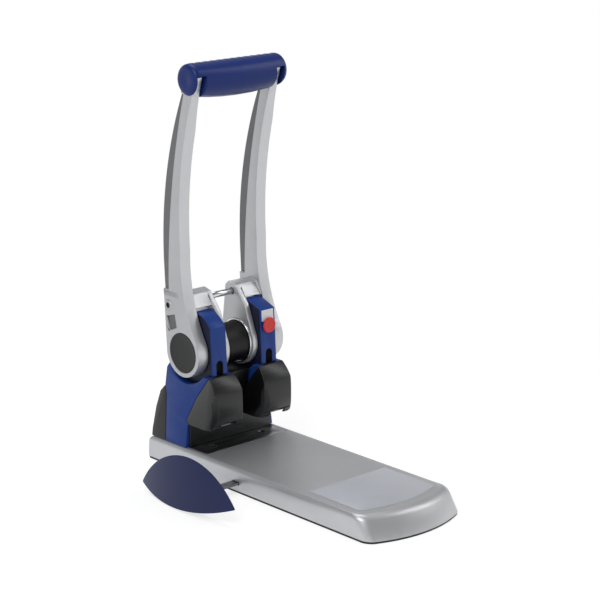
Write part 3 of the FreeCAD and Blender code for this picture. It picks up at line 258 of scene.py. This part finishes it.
# Sintered bronze is a dull yellow, blackened and oiled steel are dark with a soft shine.
bearing_bronze = finish("sintered_bronze", "#A9834A", 0.38, metallic=1.0, grain=0.4, relief=0.008)
black_steel = finish("blackened_steel", "#1C1C1E", 0.42, metallic=0.7, grain=0.4, relief=0.006)
oiled_steel = finish("oiled_rack_steel", "#2E2E30", 0.35, metallic=1.0, grain=0.4, relief=0.004)
for side in ("left", "right"):
    for node in ("head_plates", "spacer_bolts"):
        dress(f"{side}_{node}", ground_steel)
    for node in ("ram", "pinion"):
        dress(f"{side}_{node}", oiled_steel)
    dress(f"{side}_punch_pin", hard_steel)
    dress(f"{side}_ram_guide", black_steel)
    dress(f"{side}_hub_bushes", bearing_bronze)
    dress(f"{side}_pin_screw", black_steel)
    rounded(f"{side}_stripper", f"{side}_stripper_plate", 0.6, "base", [ground_steel])


# Towers: blue covers over the cheeks, injection-moulded ABS with a satin skin. It shows a soft wide
# shine with no sparkle.

blue_plastic = finish("satin_blue_abs", "#173A84", 0.36, gloss=0.26, grain=0.5, relief=0.006,
                      patch=60, tone=0.04)
for side in ("left", "right"):
    rounded(f"{side}_tower_cover", f"{side}_tower", 1.2, "base", [blue_plastic],
            slices=(("z", 16.0),))


# Middle, rear and back-stop mouldings: black nylon with a fine spark grain, so highlights are broad
# and soft. They clip between the towers.

black_nylon = finish("grained_black_nylon", "#0C0D0F", 0.34, gloss=0.52, grain=0.55, relief=0.012,
                     tone=0.06, spread=0.04)
rounded("central_cover", "middle_housing", 1.0, "base", [black_nylon])
rounded("rear_cover", "back_cover", 1.2, "base", [black_nylon], slices=(("x", 24.0),))
rounded("back_stop", "stop_strip", 0.5, "base", [black_nylon])


# Head caps: one thick black moulding over each ram, folded at the front corner and open below for the
# pin. The front is a smooth curve that carries one soft band of light.

for side in ("left", "right"):
    rounded(f"{side}_cap", f"{side}_head_cap", 1.1, "base", [black_nylon])


# Link covers: narrow covers between the lever's plates, slotted at the foot over the ram, blue on the front
# and top. Both flanks carry painted shade: a nearly black blue that stands in for the shade on their sides.

# Painted shade: the flank colour is the cover's blue darkened to stand for the shade on its sides.
shade_painted_blue = finish("painted_shade_blue_abs", "#141930", 0.45, gloss=0.25, grain=0.5, relief=0.006,
                           tone=0.05)
BLUE_FRONT_AND_TOP, SHADE_PAINTED_FLANK = 0, 1
for side in ("left", "right"):
    cover = rounded(f"{side}_link_cover", f"{side}_link_housing", 1.0, "base",
                    [blue_plastic, shade_painted_blue])
    normals = np.empty(3 * len(cover.data.polygons))
    cover.data.polygons.foreach_get("normal", normals)
    # Faces that look sideways get the painted shade colour, and the rest keep the plain blue.
    coats = np.where(np.abs(normals[0::3]) > 0.9, SHADE_PAINTED_FLANK, BLUE_FRONT_AND_TOP)
    cover.data.polygons.foreach_set("material_index", coats)


# Lock label and button: a bare white film square, and the lock's red push button of polished ABS, which
# has a raised rim round a flat face.

label_film = finish("white_film", "#E2E3E6", 0.35, grain=0.4, relief=0.004, tone=0.02)
dress("lock_label", label_film)
red_plastic = finish("polished_red_abs", "#D4261F", 0.28, grain=0.5, relief=0.003, tone=0.03)
BUTTON_RADIUS, BUTTON_FACE, BUTTON_BACK, BUTTON_END = 9.8, -16.9, -14.9, -10.7
lathe("button", (40, BUTTON_FACE, 172.8), "y",
      [(0, 0.45), (6.0, 0.45), (6.6, 0.1), (7.4, 0), (8.4, 0.05), (9.3, 0.35), (BUTTON_RADIUS, 1.0),
       (BUTTON_RADIUS, BUTTON_BACK - BUTTON_FACE), (4.0, BUTTON_BACK - BUTTON_FACE),
       (4.0, BUTTON_END - BUTTON_FACE), (0, BUTTON_END - BUTTON_FACE)],
      "button", red_plastic, ["lock_button"], around=96, edge=0.15)


# Lever shaft, dark middle tube and cross rod: a ground shaft, a moulded sleeve over it, and a bright
# drawn rod that ties the two inner plates. The sleeve is smooth and takes only a faint grey band of light.

dress("pinion_shaft", hard_steel)
dark_tube = finish("smooth_black_nylon", "#08080A", 0.45, gloss=0.3, grain=0.5, relief=0.006, tone=0.05)
HUB_BACK, HUB_HEIGHT, TUBE_HALF, TUBE_RADIUS = 21.5, 150, 19, 25.05
lathe("middle_tube", (-TUBE_HALF, HUB_BACK, HUB_HEIGHT), "x",
      [(22.1, 0), (TUBE_RADIUS, 0), (TUBE_RADIUS, 2 * TUBE_HALF), (22.1, 2 * TUBE_HALF), (22.1, 0)],
      "lever", dark_tube, ["hub_tube"], around=128, edge=0.3)
lathe("tie_rod", (-26, 32, 211), "x",
      [(0, 0), (3.4, 0), (4, 0.6), (4, 51.4), (3.4, 52), (0, 52)],
      "lever", bright_steel, ["cross_rod"], around=64)


# Arms: one aluminium die casting on each side, with a ringed plate, a curved beam and a sunk web, all silver
# paint. The flanks take a darker copy of the front paint and the web a rougher, darker coat, both painted
# shade.

arm_paint = finish("bright_silver_paint", "#CBCCCF", 0.42, metallic=0.75, grain=0.45, relief=0.012,
                   patch=45, tone=0.02, spread=0.06)
# Painted shade: the flank coat is the front paint darkened, and the web coat is darker still for the shade in
# the recess.
shaded_flank_paint = finish("painted_shade_silver_flank", "#B7B8BB", 0.42, metallic=0.75, grain=0.45, relief=0.012,
                     patch=45, tone=0.03, spread=0.06)
shaded_web_paint = finish("painted_shade_rough_web", "#6F7073", 0.5, metallic=0.55, grain=0.7, relief=0.04, tone=0.06)
ARM_NEAR, ARM_FAR, WEB_DEPTH, RING_RADIUS = 53.2, 69.2, 2.5, 27.0
FRONT, WEB, FLANK = 0, 1, 2
for side, sign in (("left", -1), ("right", 1)):
    arm = rounded(f"{side}_arm", f"{side}_lever_arm", 1.0, "lever",
                  [arm_paint, shaded_web_paint, shaded_flank_paint], slices=(("z", 8.5),))
    count = len(arm.data.polygons)
    middles, normals = np.empty(count * 3), np.empty(count * 3)
    arm.data.polygons.foreach_get("center", middles)
    arm.data.polygons.foreach_get("normal", normals)
    middles, normals = middles.reshape(-1, 3) / MM, normals.reshape(-1, 3)
    across, sideways = middles[:, 0] * sign, np.abs(normals[:, 0])
    outer_floor = np.abs(across - (ARM_FAR - WEB_DEPTH)) < 0.2
    inner_floor = np.abs(across - (ARM_NEAR + WEB_DEPTH)) < 0.2
    from_hub = np.hypot(middles[:, 1] - HUB_BACK, middles[:, 2] - HUB_HEIGHT)
    # Sideways faces take the shaded copy of the paint, and faces on the web's sunk floors take the darker
    # painted shade.
    coats = np.full(count, FRONT)
    coats[sideways > 0.98] = FLANK
    coats[(sideways > 0.9995) & (outer_floor | inner_floor) & (from_hub > RING_RADIUS)] = WEB
    arm.data.polygons.foreach_set("material_index", coats)


# Hub discs and bands: a moulded black disc let into each outer ring, faintly dished, and a polished
# steel band round the tube against each inner plate.

disc_nylon = finish("matt_black_nylon", "#1A1B1D", 0.5, gloss=0.4, grain=0.6, relief=0.015, tone=0.05)
DISC_RADIUS, DISC_THICK, DISC_FACE = 25.05, 4, 68.7
for side, sign in (("left", -1), ("right", 1)):
    lathe(f"{side}_hub_disc", (sign * (DISC_FACE - DISC_THICK), HUB_BACK, HUB_HEIGHT), "x",
          [(0, 0), (DISC_RADIUS, 0), (DISC_RADIUS, sign * 3.5), (24.5, sign * 4.0), (23.2, sign * 3.8),
           (12, sign * 3.3), (0, sign * 3.1)],
          "lever", disc_nylon, [f"{side}_hub_cap"], around=128)
    lathe(f"{side}_hub_band", (sign * 19, HUB_BACK, HUB_HEIGHT), "x",
          [(25.12, 0), (28, 0), (28, -sign * 1.2), (27.2, -sign * 2), (25.9, -sign * 2), (25.12, -sign * 1.4),
           (25.12, 0)],
          "lever", bright_steel, [f"{side}_hub_ring"], around=128)


# Boss screws: a blackened socket screw sunk in the round boss at the rear of each arm, head outwards.

BOSS_Y, BOSS_Z, BOSS_FACE, BOSS_LONG = 47.02, 205.99, 70.5, 7.8
for side, sign in (("left", -1), ("right", 1)):
    lathe(f"{side}_boss_screw", (sign * BOSS_FACE, BOSS_Y, BOSS_Z), "x",
          [(0, -sign * 3.2), (1.9, -sign * 3.2), (1.9, -sign * 0.3), (2.3, 0), (3.0, 0), (3.35, -sign * 0.35),
           (3.35, -sign * BOSS_LONG), (0, -sign * BOSS_LONG)],
          "lever", black_steel, ["arm_screws"] if side == "left" else (),
          around=48, hexed=(1, 2))


# Grip: a thick blue nylon moulding round a steel tie rod. It sags to a belly below, has soft finger
# ribs behind its top edge, round ends, and a slot in its front for each arm.

grip_plastic = finish("satin_blue_nylon", "#182D6E", 0.33, gloss=0.22, grain=0.5, relief=0.006,
                      patch=60, tone=0.04)
# A point lies at (along, r cos t, r sin t - swell) from the grip's left end. Its radius r is the plain
# radius, plus the belly's swell by share of the half length, less a quarter circle's nose at each end,
# less ribs of one cosine wave a pitch, which fade at the ends and away from 62 degrees, behind the top.
GRIP_Y, GRIP_Z, GRIP_HALF, GRIP_RADIUS, GRIP_BELLY = 3.0, 488.0, 72.5, 19.5, 2.8
RIB_PITCH, RIB_DEEP, NOSE_LONG, NOSE_DEEP = 10.5, 0.55, 6.5, 6.2
BELLY_SHARES, BELLY_PARTS = (0, 0.3, 0.55, 0.75, 0.91, 0.945), (1, 0.9, 0.67, 0.38, 0.1, 0)
along = np.concatenate([np.linspace(0, 5.5, 12), np.linspace(6, 139, 200), np.linspace(139.5, 145, 12)])
turn = np.arange(128) * 2 * np.pi / 128
share = (along - GRIP_HALF) / GRIP_HALF
swell = GRIP_BELLY * np.interp(np.abs(share), BELLY_SHARES, BELLY_PARTS)
outwards = np.clip(np.abs(along - GRIP_HALF) - (GRIP_HALF - NOSE_LONG), 0, NOSE_LONG) / NOSE_LONG
nose = NOSE_DEEP * (1 - np.sqrt(np.clip(1 - outwards ** 2, 0, 1)))
radius = GRIP_RADIUS + swell - nose - 0.05
behind_top = np.exp(-((turn - np.radians(62)) / np.radians(38)) ** 2)
ends = np.clip((1 - np.abs(share)) / 0.12, 0, 1)
waves = 0.5 - 0.5 * np.cos(2 * np.pi * along / RIB_PITCH)
radii = radius[:, None] - RIB_DEEP * waves[:, None] * ends[:, None] * behind_top
grip_points = np.stack([np.repeat((along - GRIP_HALF)[:, None], len(turn), 1),
                        GRIP_Y + radii * np.cos(turn),
                        GRIP_Z - swell[:, None] + radii * np.sin(turn)], axis=-1)
# The round ends are dimpled: rows of (radius, depth) from the middle out.
dimple = np.array([[0.0, 0.9], [4.0, 0.6], [7.5, 0.12], [10.0, 0.0]])
left_end = np.stack([np.stack([np.full(len(turn), -GRIP_HALF + d), GRIP_Y + r * np.cos(turn),
                               GRIP_Z + r * np.sin(turn)], axis=-1) for r, d in dimple])
right_end = left_end[::-1] * np.array([-1, 1, 1])
grip = skin("grip", np.concatenate([left_end, grip_points, right_end]) * MM, "lever",
            grip_plastic, ["handle_grip"])
# Each arm's slot is cut by a block with this outline in Y and Z, between two places across the grip.
SLOT = np.array([(-25.0, 460.0), (24.2, 460.0), (8.0, 499.5), (-10.0, 499.5), (-15.0, 493.5),
                 (-25.0, 493.5)])
for low, high in ((-69.5, -56.5), (52.9, 65.9)):
    cutter_points = np.stack([np.insert(SLOT, 0, x, axis=1) for x in (low, high)])
    cutter = skin("slot_cutter", cutter_points * MM, "lever", grip_plastic)
    groove = grip.modifiers.new("slot", "BOOLEAN")
    groove.object = cutter
    groove.solver = "EXACT"
    shaped = bpy.data.meshes.new_from_object(grip.evaluated_get(bpy.context.evaluated_depsgraph_get()))
    grip.modifiers.clear()
    grip.data = shaped
    bpy.data.objects.remove(cutter)
grip.data.set_sharp_from_angle(angle=math.radians(35))
dress("grip_rod", ground_steel)


# Side stop: half an almond in navy ABS, domed outwards with a sharp rim all round, screwed to the flange
# of a flat steel bar that slides in two guide blocks.

stop_plastic = finish("satin_navy_abs", "#172250", 0.33, gloss=0.28, grain=0.5, relief=0.006,
                      patch=60, tone=0.04)
STOP_X, STOP_Y, STOP_HALF = -148.8, -84.0, 85.5
REAR_TIP, FRONT_TIP = np.array([STOP_Y + STOP_HALF, 9.7]), np.array([STOP_Y - STOP_HALF, 21.0])
ARCH_RADIUS, KEEL_RADIUS, ALONG, UP = 101.3, 276.0, 121, 49
BALL_RADIUS, BALL_Y, BALL_Z, BULGE = 294.0, -87.6, -38.6, 19.2


def arc(radius, sag, count):
    """Points at even angles on the circle of a radius through both tips, bent to the side of `sag`: its
    centre is on the chord's perpendicular, at the root of radius squared less half chord squared."""
    chord = FRONT_TIP - REAR_TIP
    half = np.hypot(*chord) / 2
    square = np.array([-chord[1], chord[0]]) / (2 * half) * sag
    centre = (REAR_TIP + FRONT_TIP) / 2 - square * math.sqrt(radius ** 2 - half ** 2)
    spread = math.asin(half / radius)
    angle = np.linspace(-spread, spread, count)
    return centre + radius * (np.cos(angle)[:, None] * square + np.sin(angle)[:, None] * chord / (2 * half))


# Rows run evenly from the keel's arc to the arch's, and the face is a ball: its reach is the ball's
# radius less the root of radius squared less the squares of y and z from the ball's middle.
arch, keel = arc(ARCH_RADIUS, -1.0, ALONG), arc(KEEL_RADIUS, 1.0, ALONG)
rise = np.linspace(0, 1, UP)[:, None, None]
flat = keel * (1 - rise) + arch * rise
depth = np.sqrt(BALL_RADIUS ** 2 - (flat[..., 0] - BALL_Y) ** 2 - (flat[..., 1] - BALL_Z) ** 2)
outer = STOP_X - BULGE + BALL_RADIUS - depth
dome = np.concatenate([np.minimum(outer, STOP_X)[..., None], flat], axis=-1)
back = np.concatenate([np.full_like(outer, STOP_X)[..., None], flat], axis=-1)[::-1]
skin("side_stop_shell", np.concatenate([dome, back, dome[:1]]).transpose(1, 0, 2)[:, :-1] * MM, "stop",
     stop_plastic, ["side_stop"], edge=0.45)
rounded("guide_bar", "stop_bar", 0.3, "stop", [ground_steel])
dress("bar_guides", black_nylon)
for number, along_bar in enumerate((-92, -76), 1):
    lathe(f"stop_screw_{number}", (-144.8, along_bar, 22.5), "x",
          [(0, -1.4), (2.0, -1.4), (2.0, 0), (3.4, 0), (3.8, -0.4), (3.8, -2), (2, -2), (2, -14), (0, -14)],
          "stop", bright_steel, ["stop_screws"] if number == 1 else (),
          around=48, hexed=(1, 2))


# Chip tray: a thin black drawer that slides out behind, below the bed.

rounded("chip_tray", "drawer", 0.5, "tray", [black_nylon])


# Floor, backdrop, light and camera: a pale floor that keeps a faint soft shadow near the piece and is
# plain white further out, a room that is white at the horizon and dimmer above, and three large soft
# lamps: the key from the left, a narrower one from the right, and one from above and behind.

floor_mesh = bpy.data.meshes.new("floor")
reach = 30.0
floor_mesh.from_pydata([(-reach, -reach, 0), (reach, -reach, 0), (reach, reach, 0), (-reach, reach, 0)], [],
                       [(0, 1, 2, 3)])
floor = bpy.data.objects.new("floor", floor_mesh)
bpy.context.scene.collection.objects.link(floor)
floor_paint = bpy.data.materials.new("pale_floor")
floor_paint.use_nodes = True
tree = floor_paint.node_tree
tree.nodes.clear()
matt = add(tree, "BsdfDiffuse", {"Color": linear("#E8E8E8")})
paler = add(tree, "BsdfDiffuse", {"Color": linear("#A8A8A8")})
glow = add(tree, "Emission", {"Color": (1, 1, 1, 1), "Strength": 0.72})
white = add(tree, "Emission", {"Color": (1, 1, 1, 1), "Strength": 1.0})
paths = add(tree, "LightPath")
seen = add(tree, "Math", {0: paths.outputs["Is Camera Ray"], 1: paths.outputs["Is Glossy Ray"]},
           operation="MAXIMUM")
seen = add(tree, "Math", {0: seen.outputs["Value"], 1: paths.outputs["Is Transmission Ray"]},
           operation="MAXIMUM")
place = add(tree, "TexCoord").outputs["Object"]
away = add(tree, "VectorMath", {0: place}, operation="LENGTH")
blend = add(tree, "MapRange", {"Value": away.outputs["Value"], "From Min": 0.4, "From Max": 0.9},
            interpolation_type="SMOOTHSTEP")
near = add(tree, "AddShader", {0: paler.outputs["BSDF"], 1: glow.outputs["Emission"]})
looked = add(tree, "MixShader", {"Fac": blend.outputs["Result"], 1: near.outputs["Shader"],
                                 2: white.outputs["Emission"]})
shown = add(tree, "MixShader", {"Fac": seen.outputs["Value"], 1: matt.outputs["BSDF"],
                                2: looked.outputs["Shader"]})
add(tree, "OutputMaterial", {"Surface": shown.outputs["Shader"]})
floor_mesh.materials.append(floor_paint)

world = bpy.data.worlds.new("studio")
bpy.context.scene.world = world
world.use_nodes = True
tree = world.node_tree
tree.nodes.clear()
way = add(tree, "TexCoord").outputs["Generated"]
height = add(tree, "SeparateXYZ", {"Vector": way}).outputs["Z"]
level = add(tree, "MapRange", {"Value": height, "From Min": 0.16, "From Max": 0.36, "To Min": 1.0,
                               "To Max": 0.26}, interpolation_type="SMOOTHSTEP")
room = add(tree, "Background", {"Color": (1, 1, 1, 1), "Strength": level.outputs["Result"]})
add(tree, "OutputWorld", {"Surface": room.outputs["Background"]})


def lamp(name, power, wide, tall, place, target=(0, 0, 0.2)):
    """An area lamp, wide by tall metres, at a place and turned to a target."""
    light = bpy.data.lights.new(name, "AREA")
    light.energy = power
    light.shape = "RECTANGLE"
    light.size, light.size_y = wide, tall
    holder = bpy.data.objects.new(name, light)
    holder.location = place
    holder.rotation_euler = (Vector(target) - Vector(place)).to_track_quat("-Z", "Y").to_euler()
    bpy.context.scene.collection.objects.link(holder)


lamp("key", 20, 1.2, 1.2, (-1.5, -0.7, 2.0))
lamp("strip", 7, 0.5, 1.2, (1.45, -0.85, 1.45))
lamp("top", 16, 1.4, 1.4, (0.3, 0.7, 2.3))

AZIMUTH = math.radians(-42.33)
ELEVATION = math.radians(15.17)
CAMERA_PLACE = (-1.53118, -1.79703, 0.84887)
camera_data = bpy.data.cameras.new("camera")
camera_data.lens = 119.293
camera_data.sensor_width = 36
camera_data.clip_end = 100
camera = bpy.data.objects.new("camera", camera_data)
bpy.context.scene.collection.objects.link(camera)
back = Vector((math.sin(AZIMUTH) * math.cos(ELEVATION), -math.cos(AZIMUTH) * math.cos(ELEVATION),
               math.sin(ELEVATION)))
right = Vector((math.cos(AZIMUTH), math.sin(AZIMUTH), 0))
turned = Matrix((right, back.cross(right), back)).transposed()
camera.matrix_world = Matrix.Translation(CAMERA_PLACE) @ turned.to_4x4()
bpy.context.scene.camera = camera
bpy.context.scene.view_settings.view_transform = "Standard"
